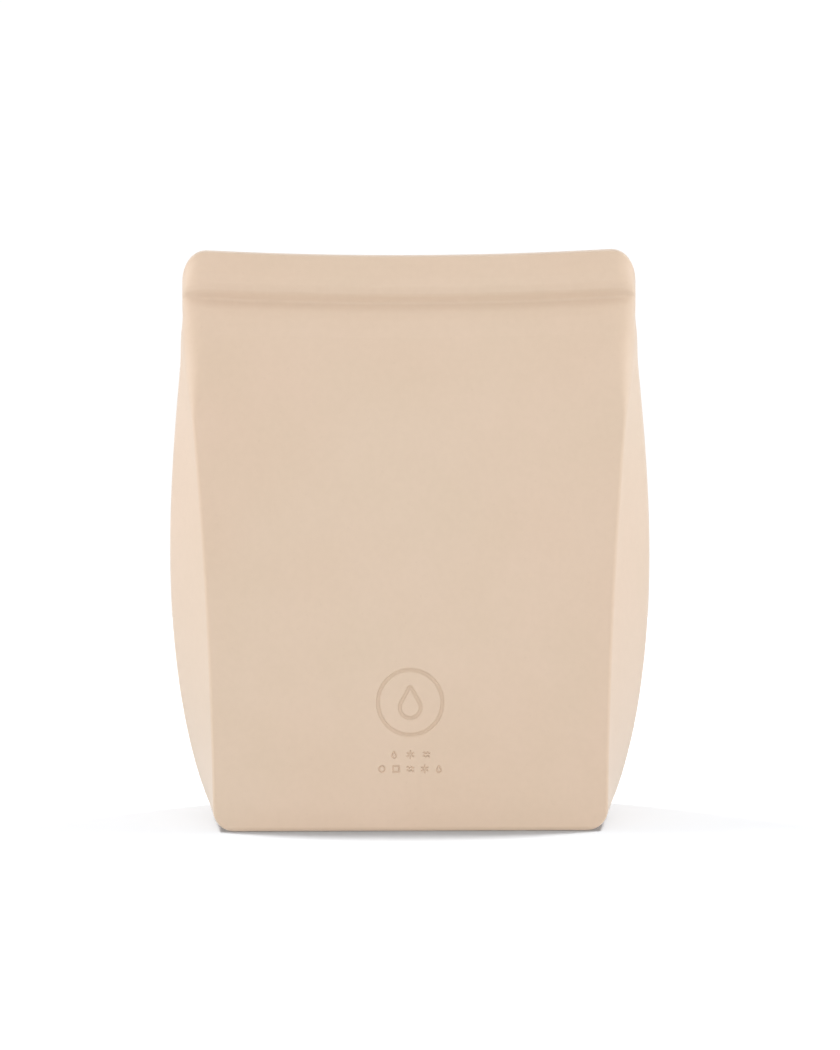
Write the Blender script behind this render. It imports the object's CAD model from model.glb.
"""Looks of the stand-up silicone bag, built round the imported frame.

The whole bag is one continuous skin: a loft of level rings that runs up the outside, over the
lips and down the inside. The skin is then cut along its creases into the pieces that stand for
the frame's nodes. Shapes are worked out in millimetres and turned into metres at the end.
"""
import math

import bpy
import numpy as np
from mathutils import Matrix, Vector


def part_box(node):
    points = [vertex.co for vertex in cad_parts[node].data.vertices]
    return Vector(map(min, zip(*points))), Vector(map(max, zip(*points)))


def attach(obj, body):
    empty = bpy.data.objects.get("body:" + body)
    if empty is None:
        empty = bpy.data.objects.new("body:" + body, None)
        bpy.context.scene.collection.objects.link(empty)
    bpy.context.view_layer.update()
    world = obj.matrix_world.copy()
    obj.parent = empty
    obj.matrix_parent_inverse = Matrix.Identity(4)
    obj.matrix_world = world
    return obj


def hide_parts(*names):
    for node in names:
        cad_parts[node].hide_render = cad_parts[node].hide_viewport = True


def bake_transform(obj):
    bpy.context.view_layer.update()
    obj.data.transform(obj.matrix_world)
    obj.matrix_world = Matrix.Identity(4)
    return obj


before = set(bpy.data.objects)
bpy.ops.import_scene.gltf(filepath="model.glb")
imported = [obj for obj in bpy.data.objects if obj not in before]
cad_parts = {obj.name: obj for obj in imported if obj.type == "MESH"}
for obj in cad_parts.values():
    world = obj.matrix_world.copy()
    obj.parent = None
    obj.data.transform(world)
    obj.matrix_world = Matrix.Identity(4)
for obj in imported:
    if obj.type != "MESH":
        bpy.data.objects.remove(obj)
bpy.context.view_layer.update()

MM = 0.001


def node_box(node):
    """Lowest and highest corner of a frame node, in millimetres."""
    low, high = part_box(node)
    return np.array(low) / MM, np.array(high) / MM


# Sizes read from the frame
BASE_X, BASE_Y, RIM_Z = node_box("base_panel")[1]
NECK_Z = node_box("front_wall")[1][2]
NECK_Y = -node_box("front_seal_band")[0][1]
MOUTH_X = node_box("right_mouth_end")[1][0]
SLIT_X = node_box("front_lip")[1][0]
SLIT_Y = -node_box("front_lip")[1][1]
BAND_TOP_Z = node_box("front_lip")[0][2]
SEAL_Z = (node_box("seal_tongue")[0][2] + node_box("seal_tongue")[1][2]) / 2
SEAL_X = node_box("seal_tongue")[1][0]

# Shape of the skin, in millimetres
WALL = 2.0
FLOOR = 2.5
TOP_Z = 199.5  # the lips, before the mouth's corners are rounded
TOP_SAG = 2.4  # how far the mouth dips in the middle
SAG_START_Z = 150.0
SAG_FULL_Z = 176.0
FLARE = 10.0
FLARE_POWER = 1.9
EASE_BELOW, EASE_SPAN = 12, 22  # where the flared sides ease into the mouth's straight ones
CROWN = 4.0
BULGE = 13.4
BULGE_START_Z = 1.0
BULGE_END_Z = 176.0
BULGE_RISE = 0.8
BULGE_FALL = 1.15
SIDE_CORNER_R = 7.4
TOE_R = 1.8
INNER_CORNER_R = 6.0
INNER_TOE_R = 1.0
TOP_CORNER = (8.6, 10.5)  # width and height of the mouth's round corners
CORNER_START_Z = 180.0  # from here up the mouth's ends are pressed down into round corners
LIP_R = 1.2  # rounding over the lips' top edge
LIP_EDGE_Z = TOP_Z - LIP_R
CREASE_R = 1.3
CREST_R = 4.0
END_ROUND = 10.5  # crease rounding in the mouth's ends
END_ROUND_START_Z, END_ROUND_SPAN = 138, 40
INNER_CREASE_R = 0.9
THROAT_LENGTH = 11  # height over which the pouch narrows to the slit

# Half depth of the outside in the mouth, at heights above the base, at the mouth's corners
BAND_KNOTS = (
    (170.5, 9.1),
    (174.0, 8.5),
    (177.5, 7.65),
    (180.2, 6.7),
    (182.6, 5.25),
    (183.5, 5.3),
    (184.9, 6.95),
    (186.0, 7.7),
    (188.8, 8.0),
    (192.0, 7.45),
    (194.5, 6.7),
    (197.0, 5.6),
    (200.5, 4.2),
)
BAND_BLUR = 0.45
BAND_BLEND = 8  # height over which the wall eases into the band
# Half depth of the inside there
THROAT_KNOTS = ((170.5, 7.1), (175.0, 4.6), (180.0, 2.2), (182.5, SLIT_Y), (210.0, SLIT_Y))
THROAT_BLUR = 0.8

# Emblem pressed into the front wall
EMBLEM_Z = 44.2
EMBLEM_R = 11.1  # middle of the ring's stroke
EMBLEM_DEPTH = 0.4
STROKE = 1.15
FINE = 0.16  # mesh size over the small marks
MARK_ROWS_Z = (26.4, 21.5)
MARK_R = 1.2
MARK_STROKE = 0.19  # half width
MARKED_Z = (19, 29.5, 58)  # foot of the marks, foot of the ring, top of the ring
EDGE_SLOPE = 0.28  # width over which a pressed edge falls


# Curves ---------------------------------------------------------------------------------


def smooth(t):
    """Soft step from 0 to 1."""
    t = np.clip(t, 0, 1)
    return t * t * (3 - 2 * t)


def soft_curve(knots, z, blur):
    """Straight runs between the knots, with every bend rounded over about blur."""
    at, value = np.array(knots).T
    offsets = np.linspace(-2.5, 2.5, 21)
    weights = np.exp(-offsets**2 / 2)
    total = sum(w * np.interp(z + o * blur, at, value) for o, w in zip(offsets, weights))
    return total / weights.sum()


def corner_inset(z, start, radius):
    """How far a rounded lower edge of this radius, starting at this height, is pulled in."""
    up = np.clip(radius - (z - start), 0, radius)
    return radius - np.sqrt(radius**2 - up**2)


def wall_half_width(z):
    """Half width of the walls at the crease; it eases into the mouth's straight sides."""
    flared = BASE_X + FLARE * (np.clip(z, 0, NECK_Z) / NECK_Z) ** FLARE_POWER
    eased = smooth((z - NECK_Z + EASE_BELOW) / EASE_SPAN)
    return flared + (MOUTH_X - flared) * eased


def wall_depth(z):
    """Half depth of the plain walls: a shallow parabola from rim to neck."""
    s = (z - RIM_Z) / (NECK_Z - RIM_Z)
    s = (s + np.sqrt(s * s + 0.0003)) / 2  # soft stop at the rim
    return BASE_Y * (1 - s) + NECK_Y * s + 4 * CROWN * s * (1 - s)


def outer_depth(z):
    """Half depth of the whole outside."""
    blend_z = NECK_Z - BAND_BLEND
    band = soft_curve(((blend_z, wall_depth(blend_z)), *BAND_KNOTS), z, BAND_BLUR)
    share = smooth((z - NECK_Z + BAND_BLEND) / BAND_BLEND)
    lower = wall_depth(np.minimum(z, NECK_Z + 4))
    return lower * (1 - share) + band * share - corner_inset(z, 0, TOE_R)


def bulge(z):
    """How far the gusset's centre crease stands out past the walls' creases."""
    t = (z - BULGE_START_Z) / (BULGE_END_Z - BULGE_START_Z)
    t = np.clip((t + np.sqrt(t * t + 0.0001)) / 2, 0, 1)
    peak = BULGE_RISE / (BULGE_RISE + BULGE_FALL)
    height = peak**BULGE_RISE * (1 - peak) ** BULGE_FALL
    return BULGE * t**BULGE_RISE * (1 - t) ** BULGE_FALL / height


def sag(x, z):
    """How far the mouth region dips at x, so that band and lips hang in a shallow curve."""
    share = smooth((z - SAG_START_Z) / (SAG_FULL_Z - SAG_START_Z))
    return TOP_SAG * share * (1 - np.clip(x / MOUTH_X, -1, 1) ** 2)


def corner_drop(x, z):
    """How far the mouth's rounded top corners lie below the lips at x."""
    share = smooth((z - CORNER_START_Z) / (LIP_EDGE_Z - CORNER_START_Z))
    width, height = TOP_CORNER
    return share * height / width * corner_inset(MOUTH_X - np.abs(x), 0, width)


# Rings ----------------------------------------------------------------------------------

CORNER_STEPS = 8
FACET_STEPS = 12
CREST_STEPS = 4
EMBLEM_HALF_X = 12.8

# Columns of a wall, from its middle: distances in millimetres where positive, and where
# negative, shares of the way from the last distance to the crease
FRONT_LINE = np.concatenate([np.arange(0, EMBLEM_HALF_X, FINE), -np.linspace(0, 1, 28)[1:]])
BACK_LINE = np.concatenate([[0.0], -np.linspace(0, 1, 35)[1:]])


def bend(start, corner, end, count):
    """Points of a soft corner, without the first one."""
    t = np.linspace(0, 1, count + 1)[1:, None]
    return start * (1 - t) ** 2 + 2 * corner * t * (1 - t) + end * t**2


def run(start, end, count):
    """Points of a straight stretch, without the first one."""
    t = np.linspace(0, 1, count + 1)[1:, None]
    return start * (1 - t) + end * t


def quarter(crease, crest, front_r, side_r, line):
    """Quarter of a level ring as (x, depth), from the middle of a wall to a gusset's crest."""
    crease, crest = np.array(crease, float), np.array(crest, float)
    length = np.linalg.norm(crest - crease)
    along = (crest - crease) / length
    side_r = min(side_r, 0.8 * length)
    crest_r = min(CREST_R, 0.5 * (length - side_r))
    crest = crest + (0.5 * crest_r * along[0], 0)  # the bend over the crest stays inside it
    end_x = crease[0] - front_r
    fixed = line[line >= 0]
    x = np.concatenate([fixed, fixed[-1] + (end_x - fixed[-1]) * -line[line < 0]])
    wall = np.stack([x, np.full_like(x, crease[1])], 1)
    turn = bend(wall[-1], crease, crease + along * side_r, CORNER_STEPS)
    facet = run(turn[-1], crest - along * crest_r, FACET_STEPS)
    # the other facet mirrors this one, so only half of the bend between them is drawn
    over = bend(facet[-1], crest, facet[-1] * (1, -1), 2 * CREST_STEPS)[:CREST_STEPS]
    return np.concatenate([wall, turn, facet, over])


def ring(crease, crest, front_r, side_r):
    """Level ring as (x, y), from the middle of the front round by the right-hand side."""
    front = quarter(crease, crest, front_r, side_r, FRONT_LINE)
    back = quarter(crease, crest, front_r, side_r, BACK_LINE)
    parts = (
        front * (1, -1),
        back[::-1][1:],
        back[1:] * (-1, 1),
        front[::-1][1:-1] * (-1, -1),
    )
    return np.concatenate(parts)


# Columns of a ring where the skin is cut
PAST_LINE = CORNER_STEPS + FACET_STEPS + CREST_STEPS
RIGHT_CREST = len(FRONT_LINE) - 1 + PAST_LINE
BACK_MIDDLE = RIGHT_CREST + len(BACK_LINE) - 1 + PAST_LINE
LEFT_CREST = BACK_MIDDLE + len(BACK_LINE) - 1 + PAST_LINE
COLUMNS = LEFT_CREST + len(FRONT_LINE) - 1 + PAST_LINE
FRONT_RIGHT = len(FRONT_LINE) - 1 + CORNER_STEPS // 2
FRONT_LEFT = COLUMNS - FRONT_RIGHT
BACK_RIGHT = BACK_MIDDLE - (len(BACK_LINE) - 1 + CORNER_STEPS // 2)
BACK_LEFT = 2 * BACK_MIDDLE - BACK_RIGHT


# Skin -----------------------------------------------------------------------------------


def outer_ring(z):
    """Ring of the outside at height z, the height at the mouth's corners."""
    under = corner_inset(z, 0, SIDE_CORNER_R)
    crease_x = wall_half_width(z) - under
    depth = outer_depth(z)
    rounding = smooth((z - END_ROUND_START_Z) / END_ROUND_SPAN)
    front_r = CREASE_R + (END_ROUND - CREASE_R) * rounding
    side_r = CREASE_R + (depth - CREASE_R) * rounding
    return ring((crease_x, depth), (crease_x + bulge(z), 0), front_r, side_r)


def inner_ring(z):
    """Ring of the inside at height z: the pouch, then the throat that narrows to the slit."""
    corner = corner_inset(z, FLOOR, INNER_CORNER_R)
    toe = corner_inset(z, FLOOR, INNER_TOE_R)
    narrowing = smooth((z - NECK_Z) / THROAT_LENGTH)
    pouch_x = wall_half_width(z) - WALL - corner
    crease_x = pouch_x + (SLIT_X - pouch_x) * narrowing
    crest_x = crease_x + bulge(z) * (1 - narrowing)
    depth = wall_depth(min(z, NECK_Z)) - WALL
    if z > NECK_Z:
        depth = min(depth, soft_curve(THROAT_KNOTS, z, THROAT_BLUR))
    front_r = INNER_CREASE_R + (SLIT_Y - INNER_CREASE_R) * narrowing
    return ring((crease_x, depth - toe), (crest_x, 0), front_r, front_r)


def stops(*stretches):
    """Heights along stretches given as (start, end, step), each end left to the next start."""
    heights = []
    for start, end, step in stretches:
        count = max(1, round(abs(end - start) / step))
        heights.extend(np.linspace(start, end, count, endpoint=False))
    return heights


ROUND_ROWS = [SIDE_CORNER_R * (1 - math.cos(a)) for a in np.radians(range(0, 90, 9))]
OUTER_Z = sorted(ROUND_ROWS + [0.06, 0.28, 0.75, 1.35]) + stops(
    (RIM_Z, MARKED_Z[0], 1.6),
    (MARKED_Z[0], MARKED_Z[1], FINE),
    (MARKED_Z[1], MARKED_Z[2], 0.22),
    (MARKED_Z[2], NECK_Z, 2.2),
    (NECK_Z, BAND_TOP_Z, 0.45),
    (BAND_TOP_Z, LIP_EDGE_Z, 0.8),
)
OUTER_Z.append(LIP_EDGE_Z)
INNER_Z = stops(
    (LIP_EDGE_Z, BAND_TOP_Z, 1.2),
    (BAND_TOP_Z, NECK_Z, 1.1),
    (NECK_Z, RIM_Z, 3.4),
    (RIM_Z, FLOOR, 0.6),
)
INNER_Z.append(FLOOR)
LIP_ANGLES = np.radians(range(10, 180, 10))
SHRINK = (0.1, 0.4, 0.7, 0.9)  # rings that close the underside and the floor


def skin_rows():
    """All rings of the skin from the middle of the underside to the middle of the floor."""
    rows = [np.insert(outer_ring(z), 2, z, axis=1) for z in OUTER_Z]
    inside = [np.insert(inner_ring(z), 2, z, axis=1) for z in INNER_Z]
    edge, slit = rows[-1], inside[0]
    lip = [
        edge + (slit - edge) * (1 - math.cos(a)) / 2 + np.array((0, 0, LIP_R * math.sin(a)))
        for a in LIP_ANGLES
    ]
    under = [rows[0] * (k, k, 1) for k in SHRINK]
    floor = [inside[-1] * (k, k, 1) for k in reversed(SHRINK)]
    return np.array(under + rows + lip + inside + floor)


def capsule(x, y, x0, y0, x1, y1, radius):
    """Distance to a round-ended stroke between two points."""
    dx, dy = x1 - x0, y1 - y0
    t = np.clip(((x - x0) * dx + (y - y0) * dy) / (dx * dx + dy * dy), 0, 1)
    return np.hypot(x - x0 - t * dx, y - y0 - t * dy) - radius


def drop(x, y, foot_r, tip_r, height):
    """Distance to a water drop standing on its round foot, centred on the foot."""
    x = np.abs(x)
    lean = (foot_r - tip_r) / height
    flank = math.sqrt(1 - lean * lean)
    side = -lean * x + flank * y
    body = x * flank + y * lean - foot_r
    foot = np.hypot(x, y) - foot_r
    tip = np.hypot(x, y - height) - tip_r
    return np.where(side < 0, foot, np.where(side > flank * height, tip, body))


def frost_mark(x, y):
    """Six-armed star."""
    arms = []
    for a in np.radians((30, 90, 150)):
        dx, dy = MARK_R * math.cos(a), MARK_R * math.sin(a)
        arms.append(capsule(x, y, -dx, -dy, dx, dy, MARK_STROKE))
    return np.minimum.reduce(arms)


def wave_mark(x, y):
    """Two rippling lines."""
    ripple = 0.25 * np.sin(x * 2 * math.pi / MARK_R)
    lines = [np.abs(y - step - ripple) - MARK_STROKE for step in (-0.55, 0.55)]
    return np.maximum(np.minimum.reduce(lines), np.abs(x) - MARK_R)


def box_mark(x, y):
    """Square outline."""
    return np.abs(np.maximum(np.abs(x), np.abs(y)) - MARK_R + MARK_STROKE) - MARK_STROKE


def drop_mark(x, y):
    """Small water drop."""
    return np.abs(drop(x, y + 0.45, 0.72, 0.1, 1.35)) - MARK_STROKE


def ring_mark(x, y):
    """Small ring."""
    return np.abs(np.hypot(x, y) - MARK_R + MARK_STROKE) - MARK_STROKE


def emblem(x, z):
    """How far the emblem presses in, from 0 to 1, at points of the front wall."""
    y = z - EMBLEM_Z
    shapes = [
        np.abs(np.hypot(x, y) - EMBLEM_R) - STROKE / 2,
        np.abs(drop(x, y + 1.7, 3.6, 0.5, 6.4)) - STROKE / 2,
    ]
    rows = (
        (MARK_ROWS_Z[0], 5.6, (drop_mark, frost_mark, wave_mark)),
        (MARK_ROWS_Z[1], 4.9, (ring_mark, box_mark, wave_mark, frost_mark, drop_mark)),
    )
    for row_z, pitch, marks in rows:
        for k, mark in enumerate(marks):
            shapes.append(mark(x - pitch * (k - (len(marks) - 1) / 2), z - row_z))
    return smooth(0.5 - np.minimum.reduce(shapes) / EDGE_SLOPE)


def skin():
    """Points of the whole skin, in millimetres, and how far each is pressed in, from 0 to 1."""
    points = skin_rows()
    x, y, z = points[..., 0], points[..., 1], points[..., 2]
    outside = np.zeros(points.shape[:2], bool)
    outside[len(SHRINK) : len(SHRINK) + len(OUTER_Z)] = True
    marked = outside & (y < 0) & (np.abs(x) < EMBLEM_HALF_X) & (z > MARKED_Z[0]) & (z < MARKED_Z[2])
    pressed = np.zeros(points.shape[:2])
    pressed[marked] = emblem(x[marked], z[marked])
    y += EMBLEM_DEPTH * pressed
    z -= sag(x, z) + corner_drop(x, z)
    return points, pressed


def normals_of(points):
    """Smooth normal at each point of the skin, out of the silicone."""
    across = np.roll(points, -1, 1) - np.roll(points, 1, 1)
    up = np.gradient(points, axis=0)
    normal = np.cross(across, up)
    return normal / np.maximum(np.linalg.norm(normal, axis=2, keepdims=True), 1e-9)


SKIN, PRESSED = skin()
NORMALS = normals_of(SKIN)

# Rows of the skin where it is cut
FIRST_OUTER = len(SHRINK)
FIRST_INNER = FIRST_OUTER + len(OUTER_Z) + len(LIP_ANGLES)


def outer_row(z):
    """Row of the outside nearest to height z."""
    return FIRST_OUTER + int(np.argmin(np.abs(np.array(OUTER_Z) - z)))


def inner_row(z):
    """Row of the inside nearest to height z."""
    return FIRST_INNER + int(np.argmin(np.abs(np.array(INNER_Z) - z)))


# Pieces ---------------------------------------------------------------------------------


def point_id(row, column):
    """Number of a point of the skin."""
    return row * COLUMNS + column % COLUMNS


def strip(low, high, columns):
    """Quads between two rows of the skin."""
    return [
        (point_id(low, j), point_id(low, j + 1), point_id(high, j + 1), point_id(high, j))
        for j in range(*columns)
    ]


def side_faces(loop):
    """Triangles over a cut that runs up the outside and down the inside, from the bottom."""
    height = SKIN.reshape(-1, 3)[loop, 2]
    faces = []
    i, j = 0, len(loop) - 1
    while i + 1 < j:
        if height[i + 1] <= height[j - 1]:
            faces.append((loop[i], loop[i + 1], loop[j]))
            i += 1
        else:
            faces.append((loop[i], loop[j - 1], loop[j]))
            j -= 1
    return faces


def add_object(name, points, faces, smooth_count):
    """Mesh object from points in millimetres; faces past the smooth ones are flat."""
    mesh = bpy.data.meshes.new(name)
    mesh.from_pydata((np.asarray(points) * MM).tolist(), [], faces)
    flags = np.arange(len(faces)) < smooth_count
    mesh.polygons.foreach_set("use_smooth", flags)
    mesh.update()
    piece = bpy.data.objects.new(name, mesh)
    bpy.context.scene.collection.objects.link(piece)
    return piece


def set_normals(piece, faces, smooth_count, normals):
    """Give the smooth faces the normals of their points; the flat faces keep their own."""
    corners = np.array([v for face in faces for v in face])
    loop_normals = normals[corners]
    loop_normals[sum(len(face) for face in faces[:smooth_count]) :] = 0
    piece.data.normals_split_custom_set(loop_normals.tolist())


def cut_piece(name, columns, *spans):
    """Closed piece of the skin between two columns, over spans of rows from the outside in."""
    skin_faces = []
    for low, high in spans:
        for row in range(low, high):
            skin_faces += strip(row, row + 1, columns)
    if spans[0][0] == 0:
        skin_faces.append([point_id(0, j) for j in reversed(range(COLUMNS))])
        skin_faces.append([point_id(len(SKIN) - 1, j) for j in range(COLUMNS)])
        flat_faces = strip(spans[0][1], spans[1][0], columns)
    else:
        flat_faces = []
        for k in range(len(spans)):
            flat_faces += strip(spans[k][1], spans[(k + 1) % len(spans)][0], columns)
        rows = [row for low, high in spans for row in range(low, high + 1)]
        flat_faces += side_faces([point_id(row, columns[0]) for row in rows])
        end = side_faces([point_id(row, columns[1]) for row in rows])
        flat_faces += [face[::-1] for face in end]
    faces = skin_faces + flat_faces
    used = np.unique([v for face in faces for v in face])
    new_id = np.zeros(SKIN.shape[0] * COLUMNS, int)
    new_id[used] = np.arange(len(used))
    faces = [new_id[list(face)].tolist() for face in faces]
    piece = add_object(name, SKIN.reshape(-1, 3)[used], faces, len(skin_faces))
    set_normals(piece, faces, len(skin_faces), NORMALS.reshape(-1, 3)[used])
    mask = piece.data.attributes.new("pressed", "FLOAT", "POINT")
    mask.data.foreach_set("value", PRESSED.reshape(-1)[used].astype(np.float32))
    return piece


def wall_spans():
    """Spans of the rows of a wall, its seal band and its lip."""
    wall = (outer_row(RIM_Z), outer_row(NECK_Z)), (inner_row(NECK_Z), inner_row(RIM_Z))
    band = (
        (outer_row(NECK_Z), outer_row(BAND_TOP_Z)),
        (inner_row(BAND_TOP_Z), inner_row(NECK_Z)),
    )
    lip = ((outer_row(BAND_TOP_Z), inner_row(BAND_TOP_Z)),)
    return {"wall": wall, "seal_band": band, "lip": lip}


def build_side(side, right, left):
    """Wall, seal band and lip of the front or back, each in a right and a left half."""
    for part, spans in wall_spans().items():
        for hand, columns, sign in (("right", right, 1), ("left", left, -1)):
            piece = cut_piece(f"{side}_{part}_{hand}", columns, *spans)
            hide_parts(f"{side}_{part}")
            finish_half(piece)


def finish_half(piece):
    """A half that opens with its wall in the middle and stays with the shell at the crease."""
    piece.data.materials.append(SILICONE)
    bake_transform(piece)


def build_shell():
    """Base, gussets and mouth ends."""
    base = cut_piece(
        "base_panel_skin",
        (0, COLUMNS),
        (0, outer_row(RIM_Z)),
        (inner_row(RIM_Z), len(SKIN) - 1),
    )
    finish_shell(base, "base_panel")
    gusset_spans = wall_spans()["wall"]
    gussets = (
        ("right_gusset_front", (FRONT_RIGHT, RIGHT_CREST)),
        ("right_gusset_back", (RIGHT_CREST, BACK_RIGHT)),
        ("left_gusset_back", (BACK_LEFT, LEFT_CREST)),
        ("left_gusset_front", (LEFT_CREST, FRONT_LEFT)),
    )
    for node, columns in gussets:
        finish_shell(cut_piece(node + "_skin", columns, *gusset_spans), node)
    end_spans = ((outer_row(NECK_Z), inner_row(NECK_Z)),)
    ends = (
        ("right_mouth_end", (FRONT_RIGHT, BACK_RIGHT)),
        ("left_mouth_end", (BACK_LEFT, FRONT_LEFT)),
    )
    for node, columns in ends:
        finish_shell(cut_piece(node + "_skin", columns, *end_spans), node)


def finish_shell(piece, node):
    """A piece that stays with the shell."""
    piece.data.materials.append(SILICONE)
    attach(piece, "shell")
    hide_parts(node)


# Seal -----------------------------------------------------------------------------------

TONGUE_ROOT, TONGUE_TIP = 1.3, 0.7  # half heights
RIB_ROOT, RIB_TIP = 1.2, 0.8
RIB_OFFSET = 2.2
SEAL_REACH = 2.5
SEAL_FADE = 5.0  # length over which the rails sink into the lips at their ends
RAIL_ROOT_DEPTH = 0.6  # how far the rails are rooted in the lips
RAIL_SINK = 0.3  # how far their ends lie under the lips' face


def rail_section(root, tip, reach):
    """Profile of a rail as (reach, height) from its lower root round the tip to its upper root."""
    nose = [
        (reach - tip * (1 - math.cos(a)) * 0.8, tip * math.sin(a))
        for a in np.radians(range(-90, 91, 18))
    ]
    return np.array([(-RAIL_ROOT_DEPTH, -root), *nose, (-RAIL_ROOT_DEPTH, root)])


def build_rail(name, node, facing, height, root, tip):
    """Rail along the inner face of a lip, in two halves, reaching across the slit."""
    full_x = SEAL_X - SEAL_FADE
    stations = np.concatenate([np.linspace(0, full_x, 40), full_x + np.arange(0.5, 5.1, 0.5)])
    fade = np.clip((SEAL_X - stations) / SEAL_FADE, 0, 1) ** 0.5
    for hand, sign in (("right", 1), ("left", -1)):
        rings, normals = [], []
        for x, share in zip(stations, fade):
            section = rail_section(root, tip, SEAL_REACH * share - RAIL_SINK * (1 - share))
            z = SEAL_Z + TOP_SAG / 2 + height - sag(x, SEAL_Z)
            y = facing * (section[:, 0] - SLIT_Y)
            rings.append(np.stack([np.full(len(y), sign * x), y, z + section[:, 1]], 1))
            along = np.roll(section, -1, 0) - np.roll(section, 1, 0)
            out = np.stack([np.zeros(len(y)), facing * along[:, 1], -along[:, 0]], 1)
            normals.append(out / np.linalg.norm(out, axis=1, keepdims=True))
        points = np.concatenate(rings)
        size = len(rings[0])
        faces = []
        for i in range(len(rings) - 1):
            for j in range(size):
                k = (j + 1) % size
                faces.append((i * size + j, i * size + k, (i + 1) * size + k, (i + 1) * size + j))
        round_faces = len(faces)
        last = (len(rings) - 1) * size
        faces += [list(reversed(range(size))), list(range(last, last + size))]
        if sign * facing < 0:
            faces = [face[::-1] for face in faces]
        piece = add_object(f"{name}_{hand}", points, faces, round_faces)
        set_normals(piece, faces, round_faces, np.concatenate(normals))
        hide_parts(node)
        finish_half(piece)


# Silicone -------------------------------------------------------------------------------


def node(tree, kind, **values):
    """Shader node with its settings, or its inputs where the name is one of them."""
    made = tree.nodes.new(kind)
    for key, value in values.items():
        if key in made.inputs:
            made.inputs[key].default_value = value
        else:
            setattr(made, key, value)
    return made


def spread(tree, value, low, high, start=0.0, end=1.0):
    """Value mapped from start..end to low..high, kept inside."""
    made = node(tree, "ShaderNodeMapRange")
    for key, number in (("From Min", start), ("From Max", end), ("To Min", low), ("To Max", high)):
        made.inputs[key].default_value = number
    tree.links.new(value, made.inputs["Value"])
    return made.outputs["Result"]


def noise(tree, place, scale, detail, roughness=0.55):
    """Noise factor over the object."""
    made = node(tree, "ShaderNodeTexNoise", Scale=scale, Detail=detail, Roughness=roughness)
    tree.links.new(place, made.inputs["Vector"])
    return made.outputs["Fac"]


def tinted(tree, colour, factor, tint):
    """Colour multiplied towards a tint by a factor."""
    made = node(tree, "ShaderNodeMix", data_type="RGBA", blend_type="MULTIPLY")
    tree.links.new(factor, made.inputs[0])
    tree.links.new(colour, made.inputs[6])
    made.inputs[7].default_value = (*tint, 1)
    return made.outputs[2]


def silicone_material():
    """Matt warm beige silicone: faint mottling, sparse specks and a fine moulded texture."""
    material = bpy.data.materials.new("silicone_matt_beige")
    material.use_nodes = True
    tree = material.node_tree
    tree.nodes.clear()
    link = tree.links.new
    place = node(tree, "ShaderNodeTexCoord").outputs["Object"]

    base = node(tree, "ShaderNodeRGB")
    base.outputs[0].default_value = (0.718, 0.562, 0.431, 1)
    colour = base.outputs[0]
    rosy = spread(tree, noise(tree, place, 11.0, 2.0), 0, 1, 0.35, 0.65)
    colour = tinted(tree, colour, rosy, (1.0, 0.978, 0.972))
    sallow = spread(tree, noise(tree, place, 31.0, 3.0), 0, 1, 0.35, 0.7)
    colour = tinted(tree, colour, sallow, (0.978, 0.985, 0.972))
    grainy = spread(tree, noise(tree, place, 420.0, 2.0), 0, 1, 0.35, 0.65)
    colour = tinted(tree, colour, grainy, (0.986, 0.984, 0.982))
    specks = node(tree, "ShaderNodeTexVoronoi", Scale=210.0)
    link(place, specks.inputs["Vector"])
    spots = spread(tree, specks.outputs["Distance"], 0, 1, 0.11, 0.05)
    colour = tinted(tree, colour, spots, (0.978, 0.975, 0.972))
    pressed = node(tree, "ShaderNodeAttribute", attribute_name="pressed").outputs["Fac"]
    colour = tinted(tree, colour, pressed, (0.93, 0.91, 0.89))

    rough = spread(tree, noise(tree, place, 60.0, 3.0), 0.50, 0.62)
    fine_bump = node(tree, "ShaderNodeBump", Strength=0.10, Distance=0.00005)
    link(noise(tree, place, 2600.0, 2.0), fine_bump.inputs["Height"])
    wide_bump = node(tree, "ShaderNodeBump", Strength=0.20, Distance=0.0005)
    link(noise(tree, place, 45.0, 2.0, 0.4), wide_bump.inputs["Height"])
    link(fine_bump.outputs["Normal"], wide_bump.inputs["Normal"])

    surface = node(tree, "ShaderNodeBsdfPrincipled", IOR=1.41)
    surface.inputs["Sheen Weight"].default_value = 0.44
    surface.inputs["Sheen Tint"].default_value = (0.98, 0.98, 0.97, 1)
    surface.inputs["Sheen Roughness"].default_value = 0.5
    link(colour, surface.inputs["Base Color"])
    link(rough, surface.inputs["Roughness"])
    link(wide_bump.outputs["Normal"], surface.inputs["Normal"])
    output = node(tree, "ShaderNodeOutputMaterial")
    link(surface.outputs["BSDF"], output.inputs["Surface"])
    return material


SILICONE = silicone_material()
build_side("front", (0, FRONT_RIGHT), (FRONT_LEFT, COLUMNS))
build_side("back", (BACK_RIGHT, BACK_MIDDLE), (BACK_MIDDLE, BACK_LEFT))
build_shell()
build_rail("seal_tongue", "seal_tongue", 1, 0, TONGUE_ROOT, TONGUE_TIP)
build_rail("seal_rib_upper", "seal_ribs", -1, RIB_OFFSET, RIB_ROOT, RIB_TIP)
build_rail("seal_rib_lower", "seal_ribs", -1, -RIB_OFFSET, RIB_ROOT, RIB_TIP)


# Studio ---------------------------------------------------------------------------------


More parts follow.
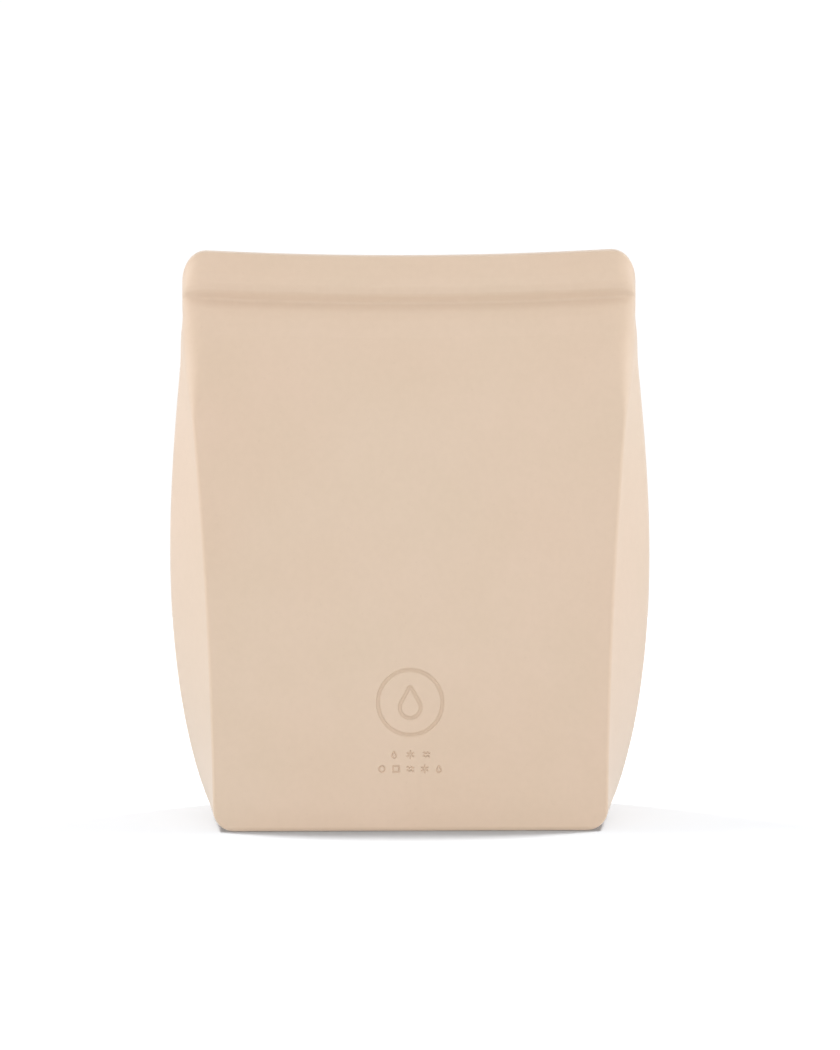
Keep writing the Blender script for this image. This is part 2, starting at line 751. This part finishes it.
def floor_plane(name, height, albedo):
    """Plain matt floor that runs out of sight behind the bag."""
    mesh = bpy.data.meshes.new(name)
    corners = [(-1.6, -1.6), (1.6, -1.6), (1.6, 0.75), (-1.6, 0.75)]
    mesh.from_pydata([(x, y, height) for x, y in corners], [], [(0, 1, 2, 3)])
    floor = bpy.data.objects.new(name, mesh)
    bpy.context.scene.collection.objects.link(floor)
    material = bpy.data.materials.new(name + "_white")
    material.use_nodes = True
    tree = material.node_tree
    tree.nodes.clear()
    matt = node(tree, "ShaderNodeBsdfDiffuse", Color=(*albedo, 1))
    output = node(tree, "ShaderNodeOutputMaterial")
    tree.links.new(matt.outputs["BSDF"], output.inputs["Surface"])
    mesh.materials.append(material)
    floor.visible_glossy = floor.visible_shadow = False
    return floor


def softbox(name, place, aim, size, power):
    """Rectangular soft light."""
    data = bpy.data.lights.new(name, "AREA")
    data.shape = "RECTANGLE"
    data.size, data.size_y = size
    data.energy = power
    light = bpy.data.objects.new(name, data)
    bpy.context.scene.collection.objects.link(light)
    light.location = place
    light.rotation_euler = (Vector(aim) - Vector(place)).to_track_quat("-Z", "Y").to_euler()
    return light


def studio_world(back, upper, lower, zenith):
    """Surroundings with their own brightness behind the bag, above, below and overhead."""
    world = bpy.data.worlds.new("studio_world")
    world.use_nodes = True
    tree = world.node_tree
    tree.nodes.clear()
    split = node(tree, "ShaderNodeSeparateXYZ")
    direction = node(tree, "ShaderNodeTexCoord").outputs["Generated"]
    tree.links.new(direction, split.inputs["Vector"])
    side, height = split.outputs["Y"], split.outputs["Z"]
    around = node(tree, "ShaderNodeMath", operation="ADD")
    tree.links.new(spread(tree, height, lower, upper, -0.15, 0.15), around.inputs[0])
    tree.links.new(spread(tree, height, 0.0, zenith), around.inputs[1])
    level = node(tree, "ShaderNodeMapRange")
    level.inputs["From Min"].default_value = 0.2
    level.inputs["From Max"].default_value = 0.8
    level.inputs["To Max"].default_value = back
    tree.links.new(side, level.inputs["Value"])
    tree.links.new(around.outputs["Value"], level.inputs["To Min"])
    glow = node(tree, "ShaderNodeBackground", Color=(1, 1, 1, 1))
    tree.links.new(level.outputs["Result"], glow.inputs["Strength"])
    output = node(tree, "ShaderNodeOutputWorld")
    tree.links.new(glow.outputs["Background"], output.inputs["Surface"])
    bpy.context.scene.world = world


# Studio: lights on the bag, and two washes that only the floor receives
studio_world(back=1.03, upper=0.0, lower=0.8, zenith=0.41)
FLOOR_PLANE = floor_plane("studio_floor", 0.0, (0.425, 0.43, 0.44))
FLOOR_PLANE.visible_diffuse = False
# The light that a white floor throws up comes from a plane just under it that isn't seen
BOUNCE_PLANE = floor_plane("studio_bounce", -0.0005, (0.75, 0.75, 0.75))
BOUNCE_PLANE.visible_camera = False
lights = (
    softbox("top", (0.0, -0.25, 0.9), (0, 0, 0.15), (0.7, 0.5), 1.6),
    softbox("front_low", (0.0, -1.8, 0.35), (0, 0, 0.1), (1.2, 0.6), 15.0),
    softbox("left_side", (-1.3, 0.1, 0.5), (0, 0, 0.1), (0.8, 1.0), 10.0),
    softbox("right_side", (1.3, 0.1, 0.5), (0, 0, 0.1), (0.8, 1.0), 9.6),
)
washes = (
    softbox("floor_wash_left", (-0.75, 0.45, 1.6), (0, 0, 0), (0.3, 0.3), 46),
    softbox("floor_wash_right", (0.75, 0.45, 1.6), (0, 0, 0), (0.3, 0.3), 46),
)
floor_only = bpy.data.collections.new("floor_only")
floor_only.objects.link(FLOOR_PLANE)
for wash in washes:
    wash.light_linking.receiver_collection = floor_only

# Camera: a long lens from about two metres, slightly above level
TARGET = Vector((3.6, 0.0, 102.8)) * MM
DISTANCE = 2.0
ELEVATION = math.radians(4.5)
ROLL = math.radians(-0.2)
FOCAL_LENGTH, SENSOR = 196, 36
camera_data = bpy.data.cameras.new("camera")
camera_data.lens = FOCAL_LENGTH
camera_data.sensor_width = SENSOR
camera = bpy.data.objects.new("camera", camera_data)
bpy.context.scene.collection.objects.link(camera)
toward = Vector((0, -math.cos(ELEVATION), math.sin(ELEVATION)))
camera.location = TARGET + DISTANCE * toward
camera.rotation_euler = (-toward).to_track_quat("-Z", "Y").to_euler()
camera.rotation_euler.rotate_axis("Z", ROLL)
bpy.context.scene.camera = camera
bpy.context.scene.view_settings.view_transform = "Standard"
